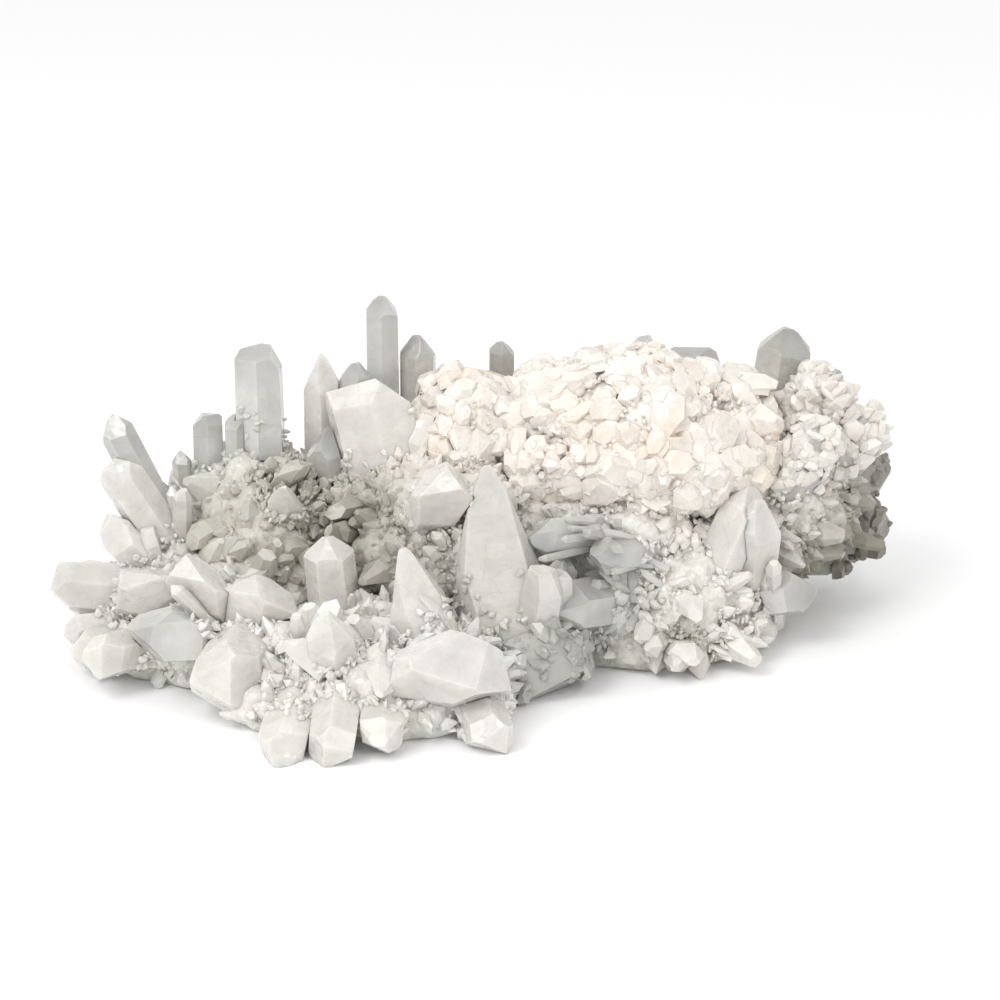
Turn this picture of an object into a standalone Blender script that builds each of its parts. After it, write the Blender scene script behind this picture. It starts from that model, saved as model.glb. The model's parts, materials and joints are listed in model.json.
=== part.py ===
"""Quartz crystal cluster: a lumpy mass of milky rock with blunt and pointed crystals grown on it.

Metres, +Z up. The cluster stands on z = 0 with its origin at the middle of its base,
its long side along X and its taller, rear side towards +Y.
"""
import math
import random
from typing import NamedTuple

import bmesh
import bpy
from mathutils import Matrix, Vector
from mathutils.bvhtree import BVHTree

MM = 0.001

# Driving dimensions, in millimetres.
WIDTH = 196.0
DEPTH = 116.0
HEIGHT = 76.0
# Pieces that meet are drawn with this gap between them.
GAP = 0.3

# Quartz ends in six faces that rise about 1.1 times the prism's radius.
POINT_RISE = 1.1
# The prism narrows a little from root to shoulder.
SHOULDER = 0.9
# No crystal is regular: its corners stand in or out by this share of its radius, and every other
# one of its six end faces is large because it lies closer in. A blunt top leans by up to this much.
UNEVEN_CORNERS = 0.14
LARGE_FACES = (0.10, 0.45)
SMALL_FACES = (-0.30, 0.05)
TOP_LEAN = 0.2
# The sharpest points have end faces only this much as uneven as blunt ones do.
SHARP_UNEVEN = 0.25
# Crystals start this far inside their seat, so that the rock always trims their root.
ROOT_DEPTH = 2.0
# A ray from this far out finds the rock's outermost surface along a crystal's axis.
FAR = 300.0
# The rock's trimming copy stands off by the gap even along its ridges.
RIDGE_ALLOWANCE = 1.3
# Each lobe is a ball of triangles, with broad and fine lumps as fractions of its radius.
LOBE_DETAIL = 3
BROAD_LUMPS = 0.14
FINE_LUMPS = 0.08
# How quickly the lumps follow each other along X, Y and Z, and where they start.
BROAD_WAVES = (5.1, 4.3, 4.7)
BROAD_STARTS = (1.3, 0.7, 2.1)
FINE_WAVES = (11.0, 9.0, 10.0)
FINE_STARTS = (0.4, 2.6, 1.1)
# A prism's flat sides lie closer to its axis than its corners, by the cosine of this angle.
HALF_SIDE = math.radians(30)
CORNER_STEP = math.radians(60)

COLOURS = {
    "rock": (0.50, 0.49, 0.44),
    "milky": (0.82, 0.79, 0.74),
    "sugar": (0.84, 0.80, 0.75),
    "clear": (0.68, 0.67, 0.64),
    "grey": (0.42, 0.42, 0.41),
}
ROUGHNESS = {"rock": 0.75, "milky": 0.40, "sugar": 0.60, "clear": 0.15, "grey": 0.25}


class Lobe(NamedTuple):
    """A rounded mass: its centre and its three radii, in millimetres."""

    centre: tuple
    radii: tuple


class Crystal(NamedTuple):
    """A six-sided crystal, in millimetres and degrees.

    seat: a point inside the rock that its axis runs through.
    lean: from upright. heading: in plan, 0 to the right and 90 to the rear.
    reach: how far its tip stands out of the rock. width: across its corners.
    flat: thickness over width. rise: height of the end faces over their radius.
    end: radius of the blunt end over the shoulder's. spin: turn about its own axis.
    """

    name: str
    seat: tuple
    lean: float
    heading: float
    reach: float
    width: float
    flat: float = 1.0
    rise: float = POINT_RISE
    end: float = 0.12
    spin: float = 0.0
    tone: str = "milky"


ROCK_LOBES = (
    Lobe((-22, -26, 5), (33, 23, 15)),
    Lobe((-60, 2, 8), (23, 24, 17)),
    Lobe((-46, 18, 16), (26, 22, 26)),
    Lobe((-8, 14, 18), (36, 30, 26)),
    Lobe((34, 24, 18), (38, 28, 30)),
    Lobe((68, 30, 28), (24, 20, 22)),
    Lobe((42, 6, 9), (28, 18, 18)),
    Lobe((6, 36, 14), (58, 18, 24)),
)

SUGARY_DOME = Lobe((39, 24, 44), (33, 24, 20))
CREAM_MASS = Lobe((0, 24, 46), (13, 14, 14))

MIDDLE_CREST = (
    Crystal("tallest_point", (-20, 36, 20), 0, 0, 41, 9, tone="clear"),
    Crystal("tallest_companion", (-12, 38, 20), 0, 0, 30, 10, tone="grey"),
    Crystal("milky_block_upper", (-16, 14, 24), 16, 150, 19, 21, rise=0.5, end=0.5, spin=15),
    Crystal("milky_block_lower", (-12, 9, 25), 48, 290, 12, 20, flat=0.7, rise=0.9, end=0.3, spin=20),
    Crystal("slender_blade", (-34, 26, 20), 0, 0, 29, 10, flat=0.7, rise=1.8, end=0.05),
    Crystal("blade_foot", (-32, 19, 22), 4, 270, 10, 12, tone="clear"),
    Crystal("block_peak", (-26, 28, 20), 0, 0, 24, 9, tone="clear"),
    Crystal("back_skirt", (-8, 40, 18), 10, 0, 21, 12, rise=0.8, tone="clear"),
    Crystal("dark_back_point", (8, 40, 18), 0, 0, 24, 8, rise=0.8, tone="grey"),
    Crystal("back_bud", (15, 42, 18), 10, 0, 20, 9, tone="grey"),
    Crystal("cream_drop", (3, 16, 46), 104, 262, 12, 14, rise=1.4, tone="sugar"),
)

LEFT_TALL_GROUP = (
    Crystal("tall_blunt_prism", (-48, 20, 18), 0, 0, 25, 12, rise=0.3, end=0.8, tone="clear"),
    Crystal("prism_shoulder", (-53, 18, 18), 0, 0, 12, 7, tone="clear"),
    Crystal("leaning_point", (-64, 14, 14), 24, 180, 31, 9, tone="clear"),
    Crystal("low_left_stub", (-64, 8, 16), 30, 180, 24, 11, rise=0.7, end=0.4),
    Crystal("clear_stub", (-60, 22, 16), 0, 0, 13, 8, rise=0.5, end=0.4, tone="clear"),
    Crystal("dark_bud", (-64, 20, 14), 5, 180, 8, 5, tone="grey"),
    Crystal("pale_leaf", (-41, 8, 22), 30, 270, 10, 9, flat=0.5, rise=1.8),
)

FRONT_MIDDLE = (
    Crystal("great_point", (8, -14, 8), 12, 115, 20, 25, rise=2.8, end=0.05, spin=10),
    Crystal("front_fin", (-6, -28, 4), 16, 155, 17, 21, flat=0.7, rise=1.7, end=0.08),
    Crystal("great_side", (17, -12, 8), 14, 15, 20, 13, rise=1.5),
    Crystal("front_stub", (-28, -16, 8), 5, 180, 17, 12, rise=0.7),
    Crystal("front_leaf", (-26, -36, 4), 26, 255, 16, 13, flat=0.5, rise=1.6, spin=20),
    Crystal("front_shelf", (-4, -30, 6), 58, 275, 15, 30, flat=0.6, rise=0.5, end=0.5),
)

FRONT_FEET = (
    Crystal("foot_left", (-34, -30, 10), 108, 260, 15, 12),
    Crystal("foot_middle", (-27, -32, 10), 104, 268, 13, 12, rise=0.7, end=0.4),
    Crystal("foot_right", (-18, -32, 9), 100, 272, 11, 11),
    Crystal("front_toe", (0, -30, 8), 100, 285, 14, 12, rise=0.7, end=0.4),
)

LEFT_SHOULDER = (
    Crystal("far_left_point", (-66, 0, 15), 84, 182, 15, 12, rise=0.7, end=0.4),
    Crystal("far_left_lower", (-66, -4, 9), 90, 192, 11, 11, rise=0.8),
    Crystal("left_crown", (-66, 6, 14), 45, 178, 12, 17, flat=0.7, rise=0.8, end=0.3),
    Crystal("left_table", (-64, -2, 10), 50, 235, 11, 23, flat=0.6, rise=0.8, end=0.3, spin=25),
    Crystal("left_quad", (-54, -6, 10), 42, 245, 11, 22, flat=0.6, rise=0.9, end=0.3, spin=-20),
    Crystal("white_ridge", (-44, -16, 12), 28, 232, 12, 21, flat=0.55, rise=0.9, end=0.3, spin=35),
    Crystal("thin_stick", (-50, -18, 8), 40, 205, 18, 3.5),
    Crystal("big_belly", (-48, -14, 10), 86, 262, 14, 18, rise=0.7, end=0.4),
    Crystal("grey_belly", (-58, -10, 9), 70, 240, 13, 20, flat=0.7, rise=0.9, end=0.2, tone="clear"),
    Crystal("round_stub", (-66, -8, 8), 84, 230, 12, 12, rise=0.6, end=0.5),
    Crystal("low_left_foot", (-66, -4, 7), 90, 205, 10, 12, rise=0.8),
)

RIGHT_END = (
    Crystal("right_crest", (70, 40, 22), 8, 20, 21, 15, rise=0.8, tone="grey"),
    Crystal("right_crest_step", (76, 38, 22), 18, 0, 15, 11, tone="grey"),
    Crystal("right_horn", (72, 24, 24), 42, 0, 16, 12, tone="clear"),
    Crystal("horn_neighbour", (68, 16, 24), 30, 350, 15, 12, tone="clear"),
    Crystal("right_slope", (68, 30, 26), 30, 0, 11, 17, rise=0.6, end=0.5),
    Crystal("dark_peak", (72, 38, 20), 66, 5, 13, 15, tone="grey"),
    Crystal("far_nose", (68, 38, 18), 90, 2, 15, 19, rise=0.7, tone="grey"),
    Crystal("under_slab", (68, 36, 10), 92, 5, 18, 14, flat=0.6, tone="grey"),
    Crystal("crest_dark", (50, 42, 18), 5, 0, 23, 17, rise=0.6, end=0.4, tone="grey"),
    Crystal("crest_left", (38, 44, 18), 6, 20, 24, 13, tone="clear"),
)

RIGHT_VALLEY = (
    Crystal("valley_rod_long", (42, 8, 28), 82, 215, 18, 9, tone="clear"),
    Crystal("valley_rod_short", (44, 6, 24), 76, 236, 17, 10, tone="clear"),
    Crystal("right_plate", (54, 2, 12), 24, 20, 18, 18, flat=0.6, rise=0.7),
    Crystal("right_shield", (64, 6, 10), 16, 285, 20, 13, flat=0.6, rise=1.4),
    Crystal("right_low_point", (60, 8, 10), 76, 345, 12, 12, tone="clear"),
    Crystal("belly_prism", (34, -2, 14), 78, 230, 18, 13, tone="clear"),
    Crystal("dark_lower", (16, -8, 9), 94, 275, 20, 22, rise=0.6, end=0.5, tone="grey"),
)

# Earlier crystals stay whole where two meet, so the prominent groups come first.
CRYSTALS = (
    MIDDLE_CREST + LEFT_TALL_GROUP + FRONT_MIDDLE + FRONT_FEET + LEFT_SHOULDER + RIGHT_END + RIGHT_VALLEY
)


def clear_scene():
    """Remove whatever the file starts with."""
    for obj in list(bpy.data.objects):
        bpy.data.objects.remove(obj)


def new_collection(name):
    """Make a collection in the scene."""
    collection = bpy.data.collections.new(name)
    bpy.context.scene.collection.children.link(collection)
    return collection


def quartz_material(name, tone):
    """A Principled material for one piece."""
    material = bpy.data.materials.new(name + "_quartz")
    material.use_nodes = True
    shader = material.node_tree.nodes["Principled BSDF"]
    shader.inputs["Base Color"].default_value = (*COLOURS[tone], 1.0)
    shader.inputs["Roughness"].default_value = ROUGHNESS[tone]
    shader.inputs["Metallic"].default_value = 0.0
    return material


def add_object(name, bm, collection, place=Matrix.Identity(4)):
    """Turn a bmesh into a named object at its place."""
    bmesh.ops.recalc_face_normals(bm, faces=bm.faces)
    mesh = bpy.data.meshes.new(name)
    bm.to_mesh(mesh)
    bm.free()
    obj = bpy.data.objects.new(name, mesh)
    collection.objects.link(obj)
    obj.location = place.to_translation()
    obj.rotation_euler = place.to_euler()
    return obj


def lump(point, waves, starts):
    """A pattern of bumps and hollows between -1 and 1: the product of a sine along each axis."""
    return math.prod(math.sin(wave * place + start) for wave, place, start in zip(waves, point, starts))


def lumpy(point):
    """How far a point of a unit ball is pushed in or out, for a broken, uneven surface."""
    broad = BROAD_LUMPS * lump(point, BROAD_WAVES, BROAD_STARTS)
    fine = FINE_LUMPS * lump(point, FINE_WAVES, FINE_STARTS)
    return 1.0 + broad + fine


def lobe_mesh(lobe, swell=0.0):
    """A ball with an uneven surface, stretched to the lobe's radii."""
    bm = bmesh.new()
    bmesh.ops.create_icosphere(bm, subdivisions=LOBE_DETAIL, radius=1.0)
    for vert in bm.verts:
        vert.co = vert.co * lumpy(vert.co)
    radii = [(radius + swell) * MM for radius in lobe.radii]
    bmesh.ops.scale(bm, vec=Vector(radii), verts=bm.verts)
    return bm


def lobe_place(lobe):
    """Where a lobe's centre goes."""
    return Matrix.Translation(Vector(lobe.centre) * MM)


def axis_of(crystal):
    """The unit vector that a crystal points along."""
    lean = math.radians(crystal.lean)
    heading = math.radians(crystal.heading)
    level = math.sin(lean)
    return Vector((level * math.cos(heading), level * math.sin(heading), math.cos(lean)))


def length_of(crystal, rock_tree):
    """From the seat to the tip, in metres: the way through the rock and then the reach."""
    axis = axis_of(crystal)
    seat = Vector(crystal.seat) * MM
    surface = rock_tree.ray_cast(seat + axis * FAR * MM, -axis)[0]
    buried = 0.0 if surface is None else max(0.0, (surface - seat).dot(axis))
    return buried + crystal.reach * MM


def growth(crystal):
    """The same uneven numbers each time for a crystal: six corner factors, how far in each of its
    six end faces lies, as a share of its radius, and which way its blunt top leans."""
    chance = random.Random(crystal.name)
    corners = [1 + chance.uniform(-UNEVEN_CORNERS, UNEVEN_CORNERS) for _ in range(6)]
    first = chance.randrange(2)
    uneven = min(1.0, SHARP_UNEVEN + 2 * crystal.end)
    depths = []
    for side in range(6):
        limits = LARGE_FACES if side % 2 == first else SMALL_FACES
        depths.append(uneven * chance.uniform(*limits))
    lean = Vector((chance.uniform(-TOP_LEAN, TOP_LEAN), chance.uniform(-TOP_LEAN, TOP_LEAN), 1))
    return corners, depths, lean


def tip_depth(depths):
    """How far below the tip of an even point six uneven faces meet, in the same shares: faces that
    face each other meet at their mean, and so does every other face."""
    pairs = [(depths[side] + depths[side + 3]) / 2 for side in range(3)]
    threes = [sum(depths[start::2]) / 3 for start in range(2)]
    return max(pairs + threes)


def cut_away(bm, point, normal):
    """Cut off what lies beyond a plane and close the cut."""
    everything = bm.verts[:] + bm.edges[:] + bm.faces[:]
    cut = bmesh.ops.bisect_plane(bm, geom=everything, plane_co=point, plane_no=normal, clear_outer=True)
    rim = [item for item in cut["geom_cut"] if isinstance(item, bmesh.types.BMEdge)]
    if rim:
        bmesh.ops.edgeloop_fill(bm, edges=rim)


def crystal_mesh(crystal, length, swell=0.0):
    """A six-sided prism cut by six uneven sloping faces, and then by a blunt one at its tip."""
    corners, depths, lean = growth(crystal)
    standoff = swell * MM
    radius = crystal.width / 2 * MM
    flat_radius = radius * math.cos(HALF_SIDE)
    corner = standoff / math.cos(HALF_SIDE)
    root_depth = ROOT_DEPTH * MM
    shaft = root_depth + length + radius
    bm = bmesh.new()
    base, shoulder = radius + corner, radius * SHOULDER + corner
    bmesh.ops.create_cone(bm, segments=6, radius1=base, radius2=shoulder, depth=shaft, cap_ends=True)
    bmesh.ops.translate(bm, vec=(0, 0, shaft / 2 - root_depth), verts=bm.verts)
    for vert in bm.verts:
        index = math.floor(math.atan2(vert.co.y, vert.co.x) / CORNER_STEP) % 6
        vert.co.xy *= corners[index]
    slope = crystal.rise * radius / (flat_radius * (1 - crystal.end))
    apex = length + (crystal.end + tip_depth(depths)) * flat_radius * slope
    for side, depth in enumerate(depths):
        angle = CORNER_STEP * side
        normal = Vector((slope * math.cos(angle), slope * math.sin(angle), 1)).normalized()
        start = Vector((0, 0, apex - depth * flat_radius * slope))
        cut_away(bm, start + normal * standoff, normal)
    cut_away(bm, Vector((0, 0, length + standoff)), lean.normalized())
    bmesh.ops.scale(bm, vec=(1, crystal.flat, 1), verts=bm.verts)
    return bm


def crystal_place(crystal):
    """The crystal's seat, its lean and heading, and its turn about its own axis."""
    turn = axis_of(crystal).to_track_quat("Z", "Y").to_matrix().to_4x4()
    spin = Matrix.Rotation(math.radians(crystal.spin), 4, "Z")
    return Matrix.Translation(Vector(crystal.seat) * MM) @ turn @ spin


def make_cutter(name, bm, cutters, place=Matrix.Identity(4)):
    """A guide solid that the model is trimmed with, not a part of it."""
    cutter = add_object(name, bm, cutters, place)
    cutter.hide_render = True
    cutter.display_type = "WIRE"
    return cutter


def apply_booleans(obj, others, operation):
    """Combine an object with others and keep the result as its mesh."""
    for other in others:
        modifier = obj.modifiers.new(other.name, "BOOLEAN")
        modifier.operation = operation
        modifier.solver = "EXACT"
        modifier.object = other
    depsgraph = bpy.context.evaluated_depsgraph_get()
    mesh = bpy.data.meshes.new_from_object(obj.evaluated_get(depsgraph))
    obj.modifiers.clear()
    obj.data = mesh


def island_of(start):
    """All faces joined to one face."""
    found = {start}
    waiting = [start]
    while waiting:
        face = waiting.pop()
        for edge in face.edges:
            for neighbour in edge.link_faces:
                if neighbour not in found:
                    found.add(neighbour)
                    waiting.append(neighbour)
    return found


def island_size(faces):
    """The volume that a closed set of faces holds."""
    total = 0.0
    for face in faces:
        first = face.verts[0].co
        for left, right in zip(face.verts[1:], face.verts[2:]):
            total += first.dot(left.co.cross(right.co)) / 6
    return total


def keep_main_body(obj):
    """Drop the slivers that trimming leaves beyond a neighbour."""
    bm = bmesh.new()
    bm.from_mesh(obj.data)
    left = set(bm.faces)
    islands = []
    while left:
        island = island_of(next(iter(left)))
        islands.append(island)
        left -= island
    if not islands:
        raise ValueError(obj.name + " lies wholly inside its neighbours")
    main = max(islands, key=island_size)
    loose = [face for face in bm.faces if face not in main]
    bmesh.ops.delete(bm, geom=loose, context="FACES")
    bm.to_mesh(obj.data)
    bm.free()


def world_box(obj):
    """The lowest and highest corners of an object's box, in the cluster's axes."""
    corners = [obj.matrix_world @ Vector(corner) for corner in obj.bound_box]
    low = [min(corner[axis] for corner in corners) for axis in range(3)]
    high = [max(corner[axis] for corner in corners) for axis in range(3)]
    return low, high


def boxes_meet(first, second):
    """Whether two objects' boxes overlap."""
    low_a, high_a = world_box(first)
    low_b, high_b = world_box(second)
    return all(low_a[axis] < high_b[axis] and low_b[axis] < high_a[axis] for axis in range(3))


def make_floor_cutter(cutters):
    """A slab below z = 0 that flattens whatever reaches lower."""
    bm = bmesh.new()
    bmesh.ops.create_cube(bm, size=1.0)
    slab = Vector((2 * WIDTH, 2 * DEPTH, HEIGHT)) * MM
    bmesh.ops.scale(bm, vec=slab, verts=bm.verts)
    bmesh.ops.translate(bm, vec=(0, 0, -slab.z / 2), verts=bm.verts)
    return make_cutter("floor_cutter", bm, cutters)


def join_lobes(rock, cutters, swell=0.0):
    """Join the rest of the rock's lobes onto the first."""
    lobes = []
    for lobe in ROCK_LOBES[1:]:
        lobes.append(make_cutter("rock_lobe", lobe_mesh(lobe, swell), cutters, lobe_place(lobe)))
    bpy.context.view_layer.update()
    apply_booleans(rock, lobes, "UNION")
    for lobe in lobes:
        bpy.data.objects.remove(lobe)


def make_host_rock(model, cutters, floor):
    """The rock, with flat patches where it rests."""
    rock = add_object("host_rock", lobe_mesh(ROCK_LOBES[0]), model, lobe_place(ROCK_LOBES[0]))
    join_lobes(rock, cutters)
    apply_booleans(rock, [floor], "DIFFERENCE")
    keep_main_body(rock)
    return rock


def make_rock_trimmer(cutters):
    """The rock again, from lobes that are larger by the gap."""
    swell = GAP * RIDGE_ALLOWANCE
    trimmer = make_cutter("rock_trimmer", lobe_mesh(ROCK_LOBES[0], swell), cutters, lobe_place(ROCK_LOBES[0]))
    join_lobes(trimmer, cutters, swell)
    return trimmer


def surface_tree(obj):
    """The surface of an object, ready to be met by rays."""
    points = [obj.matrix_world @ vert.co for vert in obj.data.vertices]
    return BVHTree.FromPolygons(points, [face.vertices for face in obj.data.polygons])


def finish_piece(obj, tone, rock_trimmer, floor, earlier):
    """Trim a piece by the rock, the floor and the pieces that were there first, and colour it."""
    bpy.context.view_layer.update()
    trimmers = [rock_trimmer, floor]
    trimmers += [trimmer for trimmer in earlier if boxes_meet(obj, trimmer)]
    apply_booleans(obj, trimmers, "DIFFERENCE")
    keep_main_body(obj)
    obj.data.materials.clear()
    obj.data.materials.append(quartz_material(obj.name, tone))


def add_mass(name, lobe, model, cutters, rock_trimmer, floor, earlier):
    """A rounded mass of fine crystals lying on the rock."""
    mass = add_object(name, lobe_mesh(lobe), model, lobe_place(lobe))
    finish_piece(mass, "sugar", rock_trimmer, floor, earlier)
    swollen = lobe_mesh(lobe, swell=GAP * RIDGE_ALLOWANCE)
    earlier.append(make_cutter(name + "_trimmer", swollen, cutters, lobe_place(lobe)))


def add_crystal(crystal, rock_tree, model, cutters, rock_trimmer, floor, earlier):
    """One crystal, rooted on the rock."""
    length = length_of(crystal, rock_tree)
    place = crystal_place(crystal)
    piece = add_object(crystal.name, crystal_mesh(crystal, length), model, place)
    finish_piece(piece, crystal.tone, rock_trimmer, floor, earlier)
    swollen = crystal_mesh(crystal, length, swell=GAP)
    earlier.append(make_cutter(crystal.name + "_trimmer", swollen, cutters, place))


def centre_on_base(model, cutters):
    """Parent everything to an empty that puts the middle of the cluster's base at the origin."""
    bpy.context.view_layer.update()
    pieces = list(model.objects)
    points = [piece.matrix_world @ vert.co for piece in pieces for vert in piece.data.vertices]
    middle = [(min(p[axis] for p in points) + max(p[axis] for p in points)) / 2 for axis in range(2)]
    stand = bpy.data.objects.new("cluster_origin", None)
    model.objects.link(stand)
    stand.location = (-middle[0], -middle[1], 0)
    for obj in pieces + list(cutters.objects):
        obj.parent = stand


def build():
    """Model the rock, the masses on it and then every crystal."""
    clear_scene()
    model = new_collection("quartz_crystal_cluster")
    cutters = new_collection("cutters")
    floor = make_floor_cutter(cutters)
    rock = make_host_rock(model, cutters, floor)
    rock.data.materials.append(quartz_material(rock.name, "rock"))
    rock_trimmer = make_rock_trimmer(cutters)
    rock_tree = surface_tree(rock)
    earlier = []
    add_mass("sugary_dome", SUGARY_DOME, model, cutters, rock_trimmer, floor, earlier)
    add_mass("cream_mass", CREAM_MASS, model, cutters, rock_trimmer, floor, earlier)
    for crystal in CRYSTALS:
        add_crystal(crystal, rock_tree, model, cutters, rock_trimmer, floor, earlier)
    centre_on_base(model, cutters)


build()
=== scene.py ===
"""Quartz crystal cluster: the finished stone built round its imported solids.

The rock and its two sugary masses become skins of packed points. The solid crystals get worn edges
and faces of slightly different tones, and several sizes of grown crystals cover what is bare.
Lengths are in metres, except where a comment says millimetres.
"""

import json
import math

import bmesh
import bpy
import numpy as np
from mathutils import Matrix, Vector


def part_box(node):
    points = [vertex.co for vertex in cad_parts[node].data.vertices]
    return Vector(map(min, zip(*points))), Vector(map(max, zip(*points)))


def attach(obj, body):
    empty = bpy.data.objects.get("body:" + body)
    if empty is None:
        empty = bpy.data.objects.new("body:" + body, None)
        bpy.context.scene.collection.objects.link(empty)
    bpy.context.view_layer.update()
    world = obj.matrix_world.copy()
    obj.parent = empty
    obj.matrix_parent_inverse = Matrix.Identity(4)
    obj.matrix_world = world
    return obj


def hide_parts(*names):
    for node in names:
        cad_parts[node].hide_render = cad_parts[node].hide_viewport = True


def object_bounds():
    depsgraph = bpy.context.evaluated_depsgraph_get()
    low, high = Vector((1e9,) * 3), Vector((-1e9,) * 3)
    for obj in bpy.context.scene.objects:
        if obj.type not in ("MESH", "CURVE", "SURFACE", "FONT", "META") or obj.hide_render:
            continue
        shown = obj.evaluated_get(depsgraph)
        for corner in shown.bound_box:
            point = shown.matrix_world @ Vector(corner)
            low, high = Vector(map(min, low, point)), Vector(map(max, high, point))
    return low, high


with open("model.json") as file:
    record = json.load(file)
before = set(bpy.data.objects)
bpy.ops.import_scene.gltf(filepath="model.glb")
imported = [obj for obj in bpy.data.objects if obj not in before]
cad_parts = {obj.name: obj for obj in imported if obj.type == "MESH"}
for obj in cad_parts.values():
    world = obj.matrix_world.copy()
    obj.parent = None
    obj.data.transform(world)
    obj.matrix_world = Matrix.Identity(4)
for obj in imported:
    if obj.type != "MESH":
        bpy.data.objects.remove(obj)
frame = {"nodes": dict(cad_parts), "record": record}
cad_low, cad_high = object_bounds()

MM = 0.001
SEED = 11
ROCK = "host_rock"
MASSES = ("sugary_dome", "cream_mass")
SLOT_OF = {part["node"]: part["material_slot"] for part in frame["record"]["subparts"]}
CRYSTAL_NODES = [name for name in sorted(frame["nodes"]) if name != ROCK and name not in MASSES]
GLASSY_SLOTS = ("clear_quartz", "grey_quartz")

# Quartz grows as six-sided prisms, with a corner every sixty degrees.
SIDES = 6
CORNERS = np.arange(SIDES) * math.tau / SIDES
# Height of the end faces over the radius, as quartz has it.
POINT_RISE = 1.1
# Crystals start this share of their length inside what they grow from.
ROOTED = 0.35
# How wide a tip is left, as shares of its crystal's width, least and most.
POINTED, BLUNT, FLAT_TOPPED = (0.05, 0.3), (0.1, 0.6), (0.35, 0.8)


# ---------------------------------------------------------------- colour

def srgb(code):
    """An sRGB hex colour as linear red, green and blue."""
    values = np.array([int(code[i:i + 2], 16) for i in (1, 3, 5)]) / 255
    return np.where(values <= 0.04045, values / 12.92, ((values + 0.055) / 1.055) ** 2.4)


# Body colours of the quartz, by the slot a solid is listed under.
TONES = {
    "milky_quartz": srgb("#E9E6E1"),
    "sugar_quartz": srgb("#F0EAE2"),
    "clear_quartz": srgb("#EAE9E6"),
    "grey_quartz": srgb("#D2D0CA"),
    "rock_quartz": srgb("#CCC9BE"),
}
# Painted shade: the dark grey of hollows and overhangs, where hardly any light gets in.
TONES["painted_shade"] = srgb("#8A8677")
# Dust that settles at roots and in dips, and painted shade there too: one olive grey.
DUST_AND_SHADE = srgb("#A29D8C")
# The faint pink-tan that iron leaves.
IRON_STAIN = srgb("#F6E4D2")
# No tone is brighter than this, because no stone gives back all the light that falls on it.
BRIGHTEST = 0.95

# How far a solid crystal's own tone reaches from its middle.
CRYSTAL_REACH = 9 * MM

# Where the stone is darker or whiter than its neighbours: a solid to measure from, a step from its
# middle in millimetres, how far the patch reaches, its colour, and how much it counts for. The dark
# grey patches are painted shade, put behind, below and beside crystals and on the overhanging
# right end, where shade falls.
PATCHES = (
    ("front_stub", (4, 14, 6), 13, "painted_shade", 1.0),
    ("pale_leaf", (6, -6, -8), 10, "painted_shade", 1.0),
    ("pale_leaf", (-4, 4, -2), 14, "rock_quartz", 2.0),
    ("great_point", (-13, 2, -6), 9, "painted_shade", 1.0),
    ("great_point", (13, 2, -8), 9, "painted_shade", 1.0),
    ("far_nose", (-8, -6, -6), 17, "painted_shade", 4.0),
    ("far_nose", (0, 0, 0), 17, "painted_shade", 2.5),
    ("dark_peak", (0, 0, 0), 8, "painted_shade", 1.5),
    ("far_left_lower", (0, 0, 0), 10, "grey_quartz", 1.0),
    ("far_left_point", (0, 0, 0), 12, "grey_quartz", 1.5),
    ("valley_rod_short", (0, 0, 0), 9, "milky_quartz", 1.5),
    ("tall_blunt_prism", (4, -6, -16), 12, "rock_quartz", 2.0),
    ("dark_lower", (0, 0, 0), 20, "grey_quartz", 1.0),
    ("right_crest", (0, 0, 0), 9, "grey_quartz", 1.0),
    ("great_point", (0, 0, 0), 10, "grey_quartz", 2.0),
    ("front_shelf", (0, 0, 0), 14, "clear_quartz", 1.0),
    ("milky_block_upper", (0, 0, 0), 14, "sugar_quartz", 1.0),
    ("milky_block_lower", (0, 0, 0), 12, "sugar_quartz", 1.0),
    ("sugary_dome", (14, -12, -8), 24, "sugar_quartz", 1.0),
    ("right_slope", (0, -4, 0), 14, "sugar_quartz", 2.0),
    ("horn_neighbour", (0, 0, 0), 9, "sugar_quartz", 2.0),
    ("right_horn", (0, 0, 2), 9, "milky_quartz", 1.0),
    ("right_shield", (0, 0, 4), 14, "milky_quartz", 1.0),
    ("white_ridge", (0, 0, 0), 14, "milky_quartz", 1.0),
    ("big_belly", (0, 0, 0), 16, "milky_quartz", 1.0),
)


def middle(node):
    """The centre of a solid's box."""
    low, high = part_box(node)
    return np.array((low + high) / 2)


def patch_table():
    """Centres, reaches, colours and strengths of every solid crystal and then of every patch."""
    centres = [middle(name) for name in CRYSTAL_NODES]
    reaches = [CRYSTAL_REACH] * len(CRYSTAL_NODES)
    colours = [TONES[SLOT_OF[name]] for name in CRYSTAL_NODES]
    strengths = [1.0] * len(CRYSTAL_NODES)
    for node, step, reach, slot, strength in PATCHES:
        centres.append(middle(node) + np.array(step) * MM)
        reaches.append(reach * MM)
        colours.append(TONES[slot])
        strengths.append(strength)
    return np.array(centres), np.array(reaches), np.array(colours), np.array(strengths)


def tone_at(points, slot, own):
    """The stone's colour at each point: an average of the patches, each weighted by its strength
    times a bell curve of its distance over its reach, and of the slot's colour, weighted by own."""
    centres, reaches, colours, strengths = patch_table()
    apart = np.linalg.norm(points[:, None] - centres, axis=2) / reaches
    weights = strengths * np.exp(-apart ** 2)
    total = weights.sum(axis=1, keepdims=True) + own
    return (weights @ colours + own * TONES[slot]) / total


# ---------------------------------------------------------------- arrays

# Corners of a solid closer together than this are one corner.
SAME_PLACE = 0.01 * MM
# Places are measured against marks this many at a time, to spare memory.
BLOCK = 4000
# How many sine waves make a smooth noise.
WAVE_COUNT = 20


def unit(vectors):
    """The same directions, one long."""
    return vectors / np.maximum(np.linalg.norm(vectors, axis=-1, keepdims=True), 1e-12)


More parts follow.
